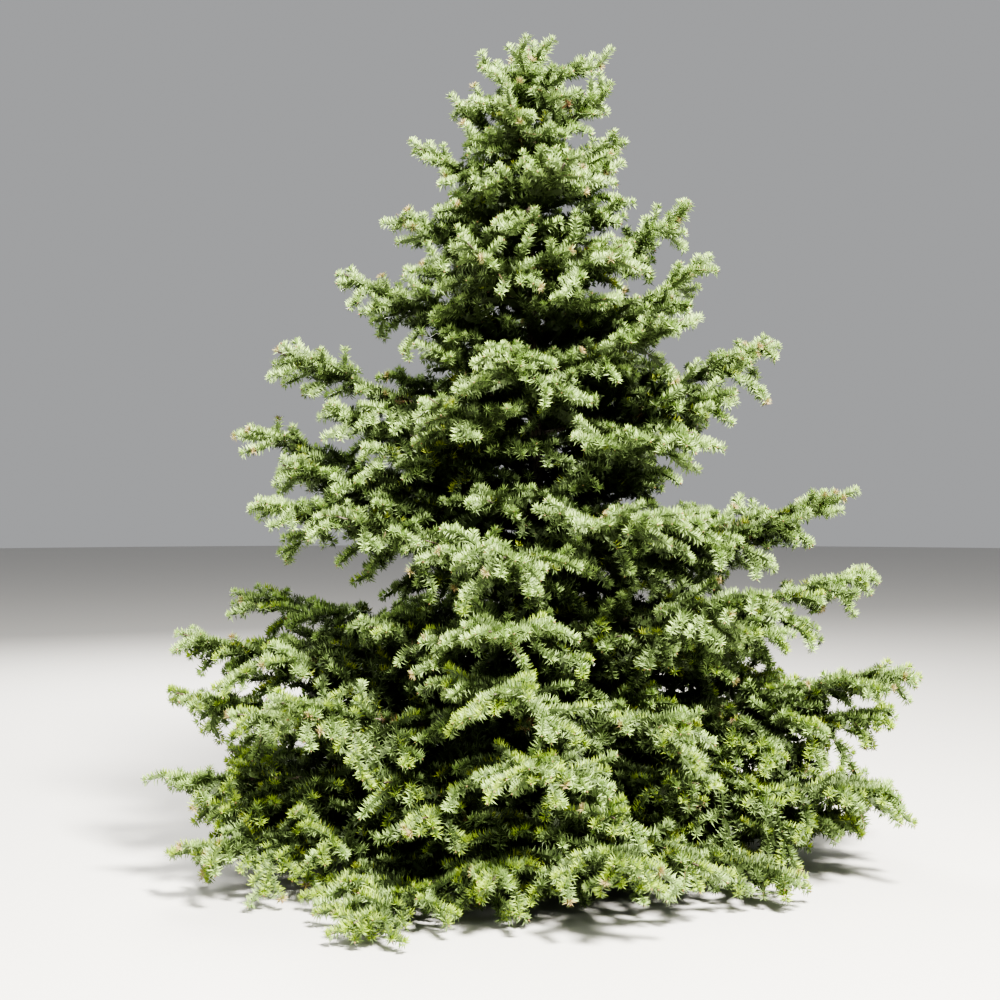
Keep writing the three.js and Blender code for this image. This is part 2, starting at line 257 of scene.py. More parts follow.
# Finer growth. Short sprays fill the room between the pairs, and a second one crosses the
# spray at a bough's tip. Room is left at the ends for the last needles. Each kind of random
# draw has a number of its own, which keeps it apart from the others.
SEED = 41
BETWEEN_DRAWS = 500
NEEDLE_DRAWS = 1000
BUD_DRAWS = 2000
FILLER_SHARE = 0.74
FILLER_TILT = 16
TIP_CROSSES = 66
TIP_CROSS_SHARE = 0.8
TIP_TRIM = 45
TIP_ROOM = 38
LIMB_ROOM = 85
LIMB_LEAFY_FROM = 1.2
LIMB_STEP = 300
LIMB_STEPS_LEAST = 3
SPRAY_BOW = 0.16
SPRAY_STEM = (1.8, 0.006, 1.2)
TWIG_SIDES = 5
STEEP = 0.9

# Twigs of a spray: their spacing, first and last place, the angle they open from its midrib,
# and their lengths as shares of its own.
TWIG_SPACING = 108
TWIG_STAGGER = 0.3
TWIG_START = 0.12
TWIG_START_LEAST = 20
TWIG_END = (0.9, 0.95)
TWIG_OPENS = (54, 36)
TWIG_OPENS_SPREAD = 6
TWIG_LIFTS = (-0.16, 0.24)
TWIG_RISES = (-0.02, 0.18)
TWIG_LONGEST = 0.42
TWIG_TAPERS = 0.8
TWIG_TAPERS_TO = 1.02
TWIG_SIZES = (0.8, 1.08)
TWIG_LEAST = 95

# Shoots leave a stem left and right. Each kind of stem has their spacing, their lengths and
# the share of the stem that stays free of them. They turn round the stem and rise by one pair
# of limits at the ground and by another at the top of the tree.
TWIG_SHOOTS = (88, (52, 80), 0.3)
SPRAY_SHOOTS = (76, (62, 115), 0.06)
BOUGH_SHOOTS = (47, (88, 138), 0.0)
SHOOT_LEANS = (30, 48)
SHOOT_LEAN_SPREAD = 8
SHOOT_TURNS = ((58, 146), (18, 118))
SHOOT_RISE = ((-0.18, 0.1), (0.04, 0.24))
SHOOT_LEAST = 74
SHOOT_ROOM_SHARE = 0.6
SHOOT_FIRST = 12
SHOOT_LAST = 8
SHOOT_CROWDING = (1.35, 0.55)
SHOOT_STEPS = (0.75, 1.25)
SHOOT_CLEARANCE = 16
UNDER_SHARE = 0.88
LOOK_ALONG = 0.04
UPRIGHT = 0.96
AXIS_STEP = 105

# How closely the needles stand on a stem itself, as a share of a shoot's.
TWIG_FULL = 0.9
SPRAY_FULL = 0.8
BOUGH_FULL = 0.6

# Sprays that grow straight from the trunk between the whorls, from the leading shoot down.
# In one short band the trunk shows from the front.
BETWEEN_TOP = 3140
BETWEEN_FOOT = 400
BETWEEN_STEP = (23, 34)
BETWEEN_SHARE = ((0.55, 0.82), (0.34, 0.56))
BETWEEN_LIFT = (4, 34)
BETWEEN_ROLL = 30
BETWEEN_FIRST = 30.0
FRONT_SINE = -0.2
OPEN_BAND = (1640, 1840)
NEAR_BOUGHS = 5

# Light in the crown, worked out in cells: the shoots' own shade, looked through on many ways.
# A shoot that gets less of it keeps fewer needles and is dealt a greener tone as painted shade, and in
# the dark it is bare.
CELL = 60
SHADE_WIDE = 34
SKY_WAYS = 40
SKY_SINES = (0.7, -0.3)
SKY_STEPS = 32
LIGHT_SPAN = (0.07, 0.43)
BARE_BELOW = 0.035
SHADED_FULL = 0.24
# Near the ground the light that deals the tones is raised, which paints light on the low shoots.
LOW_PAINTED_LIGHT = 0.07
LOW_BELOW = 1300
LOW_FRESH = 0.9
SLEEVE_GROWS = (2.0, 1.6, 1)

# The light from which each tone is dealt. The tones are partly the real bloom of outer shoots and
# partly painted light and shade: paler where the crown is open, deeper green where shade falls.
# The light varies by spray and by shoot.
TINT_SPREAD = (0.05, 0.06)
GREEN_FROM = 0.1
GLAUCOUS_FROM = (0.13, 0.28)
SILVER_FROM = (0.26, 0.5)
LIME_BELOW = 0.3
LIME_SHARE = 0.12
DEAD_BELOW = 0.15
DEAD_SHARE = 0.015

# Needles. Most lie forward over the shoot and the rest stand out as its fringe. The last ones
# make a round tip. Each is one pointed face, widest at this share of its length.
NEEDLE_BELLY = 0.45
NEEDLE_SIZES = (0.88, 1.1)
NEEDLE_WIDTHS = (0.85, 1.15)
NEEDLE_TWIST = 0.6
NEEDLE_TURN_SPREAD = 0.4
NEEDLE_TURN_BY_SHOOT = 1.7
NEEDLE_FOOT = 0.8
NEEDLE_LOWEST = 1.5
NEEDLE_LEANS = ((50, 62), (66, 82))
FRINGE_SHARE = 0.6
NEEDLE_UPSWEPT = 0.26
NEEDLES_ABOVE = 0.45
TIP_NEEDLES = 22
TIP_PLACE = 0.98
TIP_SIZE = 0.78
TIP_OPENS = math.radians(78)
TANNED_TIPS = 0.07
# Needles on a shoot's underside, below this sine, take the deeper tone as painted shade.
PAINTED_SHADE_SINE = -0.2
# Needles near a shoot's foot more often take the deeper tone: partly the darker older needles, partly
# painted shade from the shoots around them.
AGE_AND_SHADE_SPAN = (0.2, 0.8)
AGE_AND_SHADE_SHARE = (0.75, 0.1)
GOLDEN_DEGREES = 137.5
GOLDEN_TURN = math.radians(GOLDEN_DEGREES)

# Sleeves: their radius at the foot and at the shoulder, and the shares of the shoot where the
# shoulder and the point are. Seven corners, the last one the point.
SLEEVE = (7.5, 11.5)
SLEEVE_SHOULDER = 0.72
SLEEVE_END = 0.97
SLEEVE_CORNERS = 7
SLEEVE_SHAPE = np.array((
    (0, 1, 4), (0, 4, 3), (1, 2, 5), (1, 5, 4), (2, 0, 3), (2, 3, 5),
    (3, 4, 6), (4, 5, 6), (5, 3, 6), (2, 1, 0)))

# Buds stand on lit shoots, a little beyond the end. Their ring: its place and radius as shares
# of the bud's length, and how far the bud reaches back.
BUD_LIGHT = 0.4
BUD_SHARE = 0.6
BUD_BEYOND = 12
BUD_SIZES = (0.8, 1.2)
BUD_RING = (0.3, 0.36)
BUD_BACK = 0.2

# The tones of the needles, each with the deeper one that is painted shade on the underside of a shoot.
# It also darkens needles at a shoot's foot, and twice over the sleeves.
SHADE_AND_AGE_TONE = {
    "silver": "glaucous", "fresh": "glaucous", "glaucous": "green", "green": "deep",
    "deep": "deep", "lime": "green", "straw": "straw", "dead": "dead",
}
TONES = tuple(SHADE_AND_AGE_TONE)

# Studio, in metres and degrees. Each light: place, size and colour.
FLOOR_RADIUS = 40
FLOOR_SIDES = 96
FLOOR_DROP = 0.002
SKY_COLOUR = (0.97, 0.98, 1.0)
LIT_POINT = (0, 0, 1.4)
KEY_LIGHT = ((2.9, -5.7, 8.4), 2.2, (1.0, 0.97, 0.9))
FILL_LIGHT = ((-6.5, -5.5, 4.0), 4.0, (1.0, 0.99, 0.96))
BACK_LIGHT = ((-3.0, 7.0, 6.5), 3.5, (1.0, 0.98, 0.94))
CAMERA_PLACE = (-0.177, -7.2, 1.6)
CAMERA_DIP = 0.353
CAMERA_LENS = 58.46

UP = np.array((0.0, 0.0, 1.0))


def mix(a, b, share):
    return a + (b - a) * share


def clamp(value, least, most):
    return max(least, min(most, value))


def unit(vector):
    return vector / np.linalg.norm(vector)


def turned(vector, axis, degrees):
    """The vector turned about a unit axis."""
    angle = math.radians(degrees)
    part = axis * np.dot(axis, vector) * (1 - math.cos(angle))
    return vector * math.cos(angle) + np.cross(axis, vector) * math.sin(angle) + part


def sway(a, b, c):
    """A number from -1 to 1 that three numbers always give alike, as in the solids."""
    wave = math.sin(a * 12.9898 + b * 78.233 + c * 37.719) * 4375.8545
    return 2 * (wave - math.floor(wave)) - 1


def way_of(azimuth, lift=0):
    turn, rise = math.radians(azimuth), math.radians(lift)
    return np.array((math.cos(turn) * math.cos(rise), math.sin(turn) * math.cos(rise), math.sin(rise)))


def trunk_axis(height):
    share = height / TRUNK_TOP
    return np.array((TRUNK_LEAN[0] * share * share, TRUNK_LEAN[1] * share, height))


def trunk_radius(height, angle):
    plain = mix(TRUNK_TIP_RADIUS, TRUNK_FOOT_RADIUS, (1 - min(1, height / TRUNK_TOP)) ** TRUNK_TAPER)
    lobe = 1 + FLARE_LOBE_SHARE * math.cos(FLARE_LOBES * angle)
    return plain + FLARE_GROWS * lobe * math.exp(-height / FLARE_HEIGHT)


class Bough:
    """One bough: its line from the trunk's axis to its tip, and what its twigs go by."""

    def __init__(self, whorl, index, number, row):
        self.whorl = whorl
        self.name = f"{whorl}_{index}"
        self.number = number
        self.attach, azimuth, self.reach, tip = row
        self.bare = BARE_SHARE["long" if self.reach >= LONG_FROM else "short"]
        out = way_of(azimuth)
        self.foot = trunk_axis(self.attach)
        self.bend = self.foot + out * self.reach / 2
        self.bend[2] += (tip - self.attach) * BOUGH_RISE_AT_HALF - self.reach * BOUGH_SAG
        self.end = self.foot + out * self.reach
        self.end[2] = tip

    def at(self, t):
        return (1 - t) ** 2 * self.foot + 2 * t * (1 - t) * self.bend + t * t * self.end

    def way(self, t):
        return unit((1 - t) * (self.bend - self.foot) + t * (self.end - self.bend))

    def radius(self, t):
        return mix(max(BOUGH_LEAST_RADIUS, self.reach * BOUGH_RADIUS_SHARE), BOUGH_TIP_RADIUS, t)


@lru_cache(maxsize=None)
def boughs():
    rows = [(whorl, i + 1, row) for whorl, whole in WHORLS.items() for i, row in enumerate(whole)]
    return tuple(Bough(whorl, i, number + 1, row) for number, (whorl, i, row) in enumerate(rows))


@lru_cache(maxsize=None)
def all_boughs():
    """The listed boughs, then the younger ones."""
    first = len(boughs()) + 1
    rows = [(whorl, row) for whorl, whole in YOUNG for row in whole]
    young = (Bough(whorl, "young", first + i, row) for i, (whorl, row) in enumerate(rows))
    return (*boughs(), *young)


def side_shape(u):
    """How long a side twig is at share u of the foliage, from its inner end to the tip."""
    inner, gain, full_at, taper = SIDE_SHAPE
    return (inner + gain * min(1, u / full_at)) * (1 - u) ** taper


def pairs_on(bough):
    spacing = mix(*PAIR_SPACING, min(1, bough.reach / GROWN_UP_REACH))
    return int(clamp(math.floor(bough.reach * (1 - bough.bare) / spacing + 0.5), *PAIRS))


def side_spray(bough, k, sign, share=1.0, tilt=0):
    """One side twig of a bough: its root, way, roll, length and place along the bough."""
    number = bough.number
    grown = bough.reach * (1 - bough.bare)
    size = min(1, bough.reach / GROWN_UP_REACH)
    u = (k + PAIR_START + (0 if sign > 0 else PAIR_STAGGER)) / (pairs_on(bough) + PAIR_END)
    t = mix(bough.bare, 1, u)
    root = bough.at(t)
    longest = grown * mix(*SIDE_REACH, size)
    length = max(SIDE_LEAST, longest * side_shape(u)) * (1 + SIDE_SPREAD * sway(number, k, sign + 13))
    length *= share
    level = mix(*SIDE_LIFT, bough.attach / TRUNK_TOP) + tilt
    hang = math.sin(math.radians(level + SIDE_LIFT_SPREAD * sway(number, k, sign + 7)))
    lowest = (GROUND_GAP - root[2]) / length + GROUND_LIFT
    lift = math.asin(min(STEEPEST_SINE, max(hang, lowest)))
    opens = mix(*SIDE_OPENS, u) + SIDE_OPENS_SPREAD * sway(number, k, sign)
    forward = bough.way(t)
    forward[2] = 0
    along = turned(unit(forward), UP, sign * opens) * math.cos(lift) + UP * math.sin(lift)
    return root, along, SIDE_ROLL * sway(number, k, sign + 19), length


def tip_spray(bough):
    length = clamp(bough.reach * TIP_SHARE, *TIP_LENGTH)
    along = bough.way(1)
    return bough.end - along * length, along, TIP_ROLL * sway(bough.number, 50, 1), length


class Growth:
    """What grows in one mass: bare stems as tubes, and shoots that carry needles."""

    def __init__(self, whorl):
        self.whorl = whorl
        self.stems = []
        self.shoots = []
        self.tint = 0.0

    def stem(self, points, thick, thin):
        self.stems.append((np.array(points), thick, thin))

    def shoot(self, start, way, length, rise, ends=True, full=1.0):
        tip = start + (way + UP * rise) * length
        if min(start[2], tip[2]) < GROUND_GAP + SHOOT_CLEARANCE:
            return
        self.shoots.append((*start, *way, length, rise, float(ends), full, self.tint))

    def needled(self, line, length, full, ends=True):
        """Needles along a stem itself, in straight steps."""
        steps = max(1, round(length / AXIS_STEP))
        for i in range(steps):
            a, b = line(i / steps), line((i + 1) / steps)
            gap = np.linalg.norm(b - a)
            last = ends and i == steps - 1
            self.shoot(a, (b - a) / gap, gap, 0.0, ends=last, full=1.0 if last else full)


def shoots_round(growth, rng, line, length, spacing, sizes, start):
    """Short shoots left and right of a stem, pointing forward, shorter towards its tip."""
    spot = max(SHOOT_FIRST, start * length)
    sign = rng.choice((-1, 1))
    while spot < length - SHOOT_LAST:
        x = spot / length
        ahead = unit(line(min(1, x + LOOK_ALONG)) - line(max(0, x - LOOK_ALONG)))
        above = unit(UP - ahead * ahead[2]) if abs(ahead[2]) < UPRIGHT else np.array((1.0, 0, 0))
        beside = np.cross(ahead, above)
        high = min(1, line(x)[2] / TRUNK_TOP) ** 2
        turn = math.radians(sign * rng.uniform(*(mix(a, b, high) for a, b in zip(*SHOOT_TURNS))))
        radial = above * math.cos(turn) + beside * math.sin(turn)
        lean = mix(SHOOT_LEANS[1], SHOOT_LEANS[0], x)
        lean = math.radians(lean + rng.uniform(-SHOOT_LEAN_SPREAD, SHOOT_LEAN_SPREAD))
        way = ahead * math.cos(lean) + radial * math.sin(lean)
        size = rng.uniform(*sizes) * mix(UNDER_SHARE, 1, 0.5 + 0.5 * radial[2])
        size = min(size, SHOOT_ROOM_SHARE * (length - spot) + SHOOT_LEAST)
        rise = rng.uniform(*(mix(a, b, high) for a, b in zip(*SHOOT_RISE)))
        growth.shoot(line(x), unit(way), size, rise)
        sign = -sign
        spot += spacing * mix(*SHOOT_CROWDING, x) * rng.uniform(*SHOOT_STEPS)


def side_twig(growth, rng, start, way, length):
    """A twig in a spray, needled, with short shoots left and right."""
    rise = rng.uniform(*TWIG_RISES)

    def line(s):
        return start + (way * s + UP * rise * s * s) * length

    growth.needled(line, length, TWIG_FULL)
    shoots_round(growth, rng, line, length, *TWIG_SHOOTS)


def grow_spray(growth, rng, root, along, roll, length):
    """A spray: a midrib, with side twigs inside the outline that its solid blade has."""
    across = turned(unit(np.cross(UP, along)), along, roll)
    normal = np.cross(along, across)
    length -= TIP_ROOM

    def rib(x):
        bend = SPRAY_BOW * x * (1 - x) - BLADE_ARCH * x * x
        return root + (along * x + normal * bend) * length

    growth.tint = rng.standard_normal()
    steps = max(2, round(length / AXIS_STEP))
    least, by_length, thin = SPRAY_STEM
    growth.stem([rib(x) for x in np.linspace(0, 1, steps + 1)], least + length * by_length, thin)
    growth.needled(rib, length, SPRAY_FULL)
    shoots_round(growth, rng, rib, length, *SPRAY_SHOOTS)
    x = TWIG_START + TWIG_START_LEAST / length
    while x < TWIG_END[0]:
        for sign in (1, -1):
            aside = rng.uniform(-TWIG_STAGGER, TWIG_STAGGER)
            at = min(TWIG_END[1], x + aside * TWIG_SPACING / length)
            size = length * min(TWIG_LONGEST, TWIG_TAPERS * (TWIG_TAPERS_TO - at))
            size *= rng.uniform(*TWIG_SIZES)
            if size < TWIG_LEAST:
                continue
            spread = rng.uniform(-TWIG_OPENS_SPREAD, TWIG_OPENS_SPREAD)
            opens = math.radians(mix(*TWIG_OPENS, x) + spread)
            lift = -BLADE_FOLD * math.sin(opens) / 2 + rng.uniform(*TWIG_LIFTS)
            way = along * math.cos(opens) + across * sign * math.sin(opens) + normal * lift
            side_twig(growth, rng, rib(at), unit(way), size)
        x += TWIG_SPACING / length


def grow_bough(bough):
    growth = Growth(bough.whorl)
    rng = np.random.default_rng((SEED, bough.number))
    root, along, roll, length = tip_spray(bough)
    length -= TIP_TRIM
    crossing = roll + (TIP_CROSSES if roll < 0 else -TIP_CROSSES)
    sprays = [(root, along, roll, length), (root, along, crossing, length * TIP_CROSS_SHARE)]
    for k in range(pairs_on(bough)):
        for sign in (1, -1):
            sprays.append(side_spray(bough, k, sign))
            if k < pairs_on(bough) - 1:
                tilt = FILLER_TILT if (k + sign) % 4 < 2 else -FILLER_TILT
                sprays.append(side_spray(bough, k + 0.5, sign, FILLER_SHARE, tilt))
    for root, along, roll, length in sprays:
        grow_spray(growth, rng, root, along, roll, length)
    start, last = bough.bare * LIMB_LEAFY_FROM, 1 - LIMB_ROOM / bough.reach
    leafy = bough.reach * (last - start)
    steps = max(LIMB_STEPS_LEAST, round(leafy / LIMB_STEP))
    for i in range(steps):
        a, b = mix(start, last, i / steps), mix(start, last, (i + 1) / steps)

        def line(x, a=a, b=b):
            return bough.at(mix(a, b, x))

        growth.needled(line, leafy / steps, BOUGH_FULL, ends=False)
        shoots_round(growth, rng, line, leafy / steps, *BOUGH_SHOOTS)
    return growth


def crown_radius(height):
    """How far the boughs reach near a height, read off the table of boughs."""
    near = sorted(boughs(), key=lambda bough: abs(bough.end[2] - height))[:NEAR_BOUGHS]
    return sum(bough.reach for bough in near) / len(near)


def grow_between():
    """Small sprays straight from the trunk, which close the crown between the whorls."""
    growths = {whorl: Growth(whorl) for whorl in WHORLS}
    rng = np.random.default_rng((SEED, BETWEEN_DRAWS))
    height = BETWEEN_TOP
    azimuth = BETWEEN_FIRST
    while height > BETWEEN_FOOT:
        share = (BETWEEN_TOP - height) / BETWEEN_TOP
        in_front = math.sin(math.radians(azimuth)) < FRONT_SINE
        if not (in_front and OPEN_BAND[0] < height < OPEN_BAND[1]):
            least, most = (mix(a, b, min(1, share * 2)) for a, b in zip(*BETWEEN_SHARE))
            length = crown_radius(height) * rng.uniform(least, most)
            whorl = min(boughs(), key=lambda bough: abs(bough.attach - height)).whorl
            along = way_of(azimuth, rng.uniform(*BETWEEN_LIFT))
            roll = rng.uniform(-BETWEEN_ROLL, BETWEEN_ROLL)
            grow_spray(growths[whorl], rng, trunk_axis(height), along, roll, length)
        height -= mix(*BETWEEN_STEP, share)
        azimuth += GOLDEN_DEGREES
    return tuple(growths.values())


def leader_at(share):
    foot = trunk_axis(TRUNK_TOP)
    return foot + np.array((LEADER_LEAN, 0, 1)) * share * LEADER_HEIGHT


def grow_leader():
    growth = Growth("upper")
    rng = np.random.default_rng((SEED, 0))
    growth.stem([leader_at(x) for x in LEADER_POINTS], *LEADER_RADIUS)
    needled = LEADER_HEIGHT - TIP_ROOM
    growth.needled(lambda x: leader_at(x * needled / LEADER_HEIGHT), needled, 1.0)
    for i, (share, azimuth, lift, length) in enumerate(LEADER_SPRAYS):
        roll = LEADER_ROLL * sway(0, i, 2)
        grow_spray(growth, rng, leader_at(share), way_of(azimuth, lift), roll, length)
    return growth


@lru_cache(maxsize=None)
def growths():
    """The growth of every mass, from the leading shoot down."""
    return (grow_leader(), *(grow_bough(bough) for bough in all_boughs()), *grow_between())


def masses_of(whorl):
    names = [f"foliage_{bough.name}" for bough in boughs() if bough.whorl == whorl]
    return names + (["foliage_leader"] if whorl == "upper" else [])


def length_of(vectors):
    return np.linalg.norm(vectors, axis=-1, keepdims=True)


def tube_faces(rings):
    """Triangles of a closed tube whose corners run ring by ring."""
    ring, side = np.meshgrid(np.arange(rings - 1), np.arange(TWIG_SIDES), indexing="ij")
    a = ring * TWIG_SIDES + side
    b = ring * TWIG_SIDES + (side + 1) % TWIG_SIDES
    wall = np.stack((a, b, b + TWIG_SIDES, a, b + TWIG_SIDES, a + TWIG_SIDES), -1).reshape(-1, 3)
    fan = np.array([(0, j, j + 1) for j in range(1, TWIG_SIDES - 1)])
    return np.concatenate((wall, fan[:, ::-1], fan + (rings - 1) * TWIG_SIDES))


def tube(points, thick, thin):
    """Corners and triangles of a closed tapering tube along a line of points."""
    way = np.gradient(points, axis=0)
    way /= length_of(way)
    side = np.cross(way, UP if abs(way[0, 2]) < STEEP else (1.0, 0.0, 0.0))
    side /= length_of(side)
    other = np.cross(way, side)
    turn = np.linspace(0, 2 * math.pi, TWIG_SIDES, endpoint=False)
    radii = np.linspace(thick, thin, len(points))[:, None, None]
    ring = np.cos(turn)[None, :, None] * side[:, None] + np.sin(turn)[None, :, None] * other[:, None]
    corners = points[:, None] + radii * ring
    return corners.reshape(-1, 3), tube_faces(len(points))


def mesh_from(name, corners, faces, slots, materials):
    """A new object from arrays of corners in millimetres and triangles, each with its slot."""
    mesh = bpy.data.meshes.new(name)
    mesh.vertices.add(len(corners))
    mesh.vertices.foreach_set("co", (corners * MM).astype(np.float32).ravel())
    mesh.loops.add(faces.size)
    mesh.loops.foreach_set("vertex_index", faces.astype(np.int32).ravel())
    mesh.polygons.add(len(faces))
    mesh.polygons.foreach_set("loop_start", np.arange(0, faces.size, 3, dtype=np.int32))
    mesh.polygons.foreach_set("material_index", slots.astype(np.int32))
    mesh.update(calc_edges=True)
    mesh.shade_flat()
    for material in materials:
        mesh.materials.append(material)
    piece = bpy.data.objects.new(name, mesh)
    bpy.context.scene.collection.objects.link(piece)
    return piece


def joined(parts):
    """Corners and triangles of several small meshes as one."""
    offsets = np.cumsum([0] + [len(corners) for corners, _ in parts[:-1]])
    corners = np.concatenate([corners for corners, _ in parts])
    faces = np.concatenate([faces + offset for (_, faces), offset in zip(parts, offsets)])
    return corners, faces


def ends_of(shoots):
    return shoots[:, 0:3] + (shoots[:, 3:6] + UP * shoots[:, 7:8]) * shoots[:, 6:7]


@lru_cache(maxsize=None)
def lit_shoots():
    """All the shoots, each one's whorl, and the light on it, from 0 to 1."""
    shoots = np.array([row for growth in growths() for row in growth.shoots])
    whorls = np.array([growth.whorl for growth in growths() for _ in growth.shoots])
    middle = (shoots[:, 0:3] + ends_of(shoots)) / 2
    low = middle.min(0) - CELL
    cells = np.zeros(((middle.max(0) - low) // CELL + 2).astype(int))
    np.add.at(cells, tuple(((middle - low) // CELL).astype(int).T), shoots[:, 6] * SHADE_WIDE / CELL ** 2)
    light = np.zeros(len(shoots))
    for i, height in enumerate(np.linspace(*SKY_SINES, SKY_WAYS)):
        way = way_of(math.degrees(i * GOLDEN_TURN), math.degrees(math.asin(height)))
        shade = np.zeros(len(shoots))
        for step in range(1, SKY_STEPS):
            place = ((middle + way * step * CELL - low) // CELL).astype(int)
            inside = np.all((place >= 0) & (place < cells.shape), axis=1)
            shade[inside] += cells[tuple(place[inside].T)]
        light += np.exp(-shade)
    light /= light.max()
    shoots[:, 9] *= np.interp(light, LIGHT_SPAN, (SHADED_FULL, 1))
    shoots[light < BARE_BELOW, 8:10] = 0
    return shoots, whorls, light


def shoot_table(whorl):
    """The shoots of a whorl, one row each, and the light on each."""
    shoots, whorls, light = lit_shoots()
    return shoots[whorls == whorl], light[whorls == whorl]


def sides_of(ways):
    """Two ways at right angles to each of these, the first one level."""
    side = np.cross(ways, UP)
    side /= np.maximum(length_of(side), TINY)
    return side, np.cross(ways, side)


def repeated(shape, corners, count):
    """Triangles of many small meshes of one shape, each with this many corners."""
    return (shape[None] + corners * np.arange(count)[:, None, None]).reshape(-1, 3)


def sleeves(shoots, rng):
    """The closely set lower parts of the needles round each shoot, as a three-sided spindle."""
    start, way = shoots[:, 0:3], shoots[:, 3:6]
    length, rise = shoots[:, 6:7], shoots[:, 7:8]
    side, other = sides_of(way)
    roll = rng.uniform(0, 2 * math.pi, len(shoots))[:, None]
    wide = np.interp(shoots[:, 9], (0, SHADED_FULL, 1), SLEEVE_GROWS)[:, None]
    rings = []
    for s, radius in ((0.0, SLEEVE[0]), (SLEEVE_SHOULDER, SLEEVE[1])):
        centre = start + way * length * s + UP * rise * length * s * s
        for third in range(3):
            turn = roll + third * 2 * math.pi / 3
            rings.append(centre + radius * wide * (side * np.cos(turn) + other * np.sin(turn)))
    tip = start + (way + UP * rise * SLEEVE_END) * length * SLEEVE_END
    corners = np.stack((*rings, tip), 1).reshape(-1, 3)
    corners[:, 2] = np.maximum(corners[:, 2], GROUND_GAP)
    return corners, repeated(SLEEVE_SHAPE, SLEEVE_CORNERS, len(shoots))


def deal_tones(shoots, light, rng):
    """The tone of each shoot, partly its bloom and partly painted light and shade: silvery where the
    light is, deeper green in the shade.
    """
    chance = rng.random(len(shoots))
    odd = rng.random(len(shoots))
    low = np.clip(1 - shoots[:, 2] / LOW_BELOW, 0, 1)
    lit = light + LOW_PAINTED_LIGHT * low
    lit += TINT_SPREAD[0] * shoots[:, 10] + TINT_SPREAD[1] * rng.standard_normal(len(shoots))
    tone = np.full(len(shoots), TONES.index("deep"))
    tone[lit > GREEN_FROM] = TONES.index("green")
    tone[lit > mix(*GLAUCOUS_FROM, chance)] = TONES.index("glaucous")
    tone[lit > mix(*SILVER_FROM, chance)] = TONES.index("silver")
    tone[(tone == TONES.index("silver")) & (odd > 1 - LOW_FRESH * low)] = TONES.index("fresh")
    tone[(lit < LIME_BELOW) & (odd < LIME_SHARE + LIME_SHARE * low)] = TONES.index("lime")
    tone[(lit < DEAD_BELOW) & (odd > 1 - DEAD_SHARE)] = TONES.index("dead")
    return tone


def needle_places(shoots, rng, sizes):
    """For each needle: the row of its shoot, its root, its way and the way it is wide,
    the way out from the shoot, its share along the shoot, and whether it is at the tip."""
    along = np.round(shoots[:, 6] * MM / sizes.needle_pitch * shoots[:, 9]).astype(int)
    tips = np.round(TIP_NEEDLES * shoots[:, 8] * shoots[:, 9]).astype(int)
    count = along + tips
    own = np.repeat(np.arange(len(shoots)), count)
    order = np.arange(len(own)) - np.repeat(np.cumsum(count) - count, count)
    at_tip = order >= along[own]
    s = np.where(at_tip, TIP_PLACE, (order + rng.random(len(own))) / along[own])[:, None]
    start, way = shoots[own, 0:3], shoots[own, 3:6]
    long, rise = shoots[own, 6:7], shoots[own, 7:8]
    axis = start + way * long * s + UP * rise * long * s ** 2
    tangent = way + UP * 2 * rise * s
    tangent /= length_of(tangent)
    above = UP - tangent * tangent[:, 2:3]
    above /= np.maximum(length_of(above), TINY)
    beside = np.cross(tangent, above)
    angle = order * GOLDEN_TURN + own * NEEDLE_TURN_BY_SHOOT
    angle += rng.uniform(-NEEDLE_TURN_SPREAD, NEEDLE_TURN_SPREAD, len(own))
    angle -= NEEDLES_ABOVE * np.sin(angle)
    radial = above * np.cos(angle)[:, None] + beside * np.sin(angle)[:, None]
    fringe = rng.random(len(own)) < FRINGE_SHARE
    least, most = (np.where(fringe, b, a) for a, b in zip(*NEEDLE_LEANS))
    lean = np.radians(mix(least, most, rng.random(len(own))))
    share = (order - along[own] + 0.5) / np.maximum(tips[own], 1)
    round_tip = np.arccos(1 - np.clip(share, 0, 1) * (1 - math.cos(TIP_OPENS)))
    lean = np.where(at_tip, round_tip, lean)[:, None]
    way_out = tangent * np.cos(lean) + (radial + UP * NEEDLE_UPSWEPT) * np.sin(lean)
    way_out /= length_of(way_out)
    flat = np.cross(way_out, np.cross(tangent, radial))
    flat /= length_of(flat)
    return own, axis + radial * NEEDLE_FOOT, way_out, flat, radial, s[:, 0], at_tip


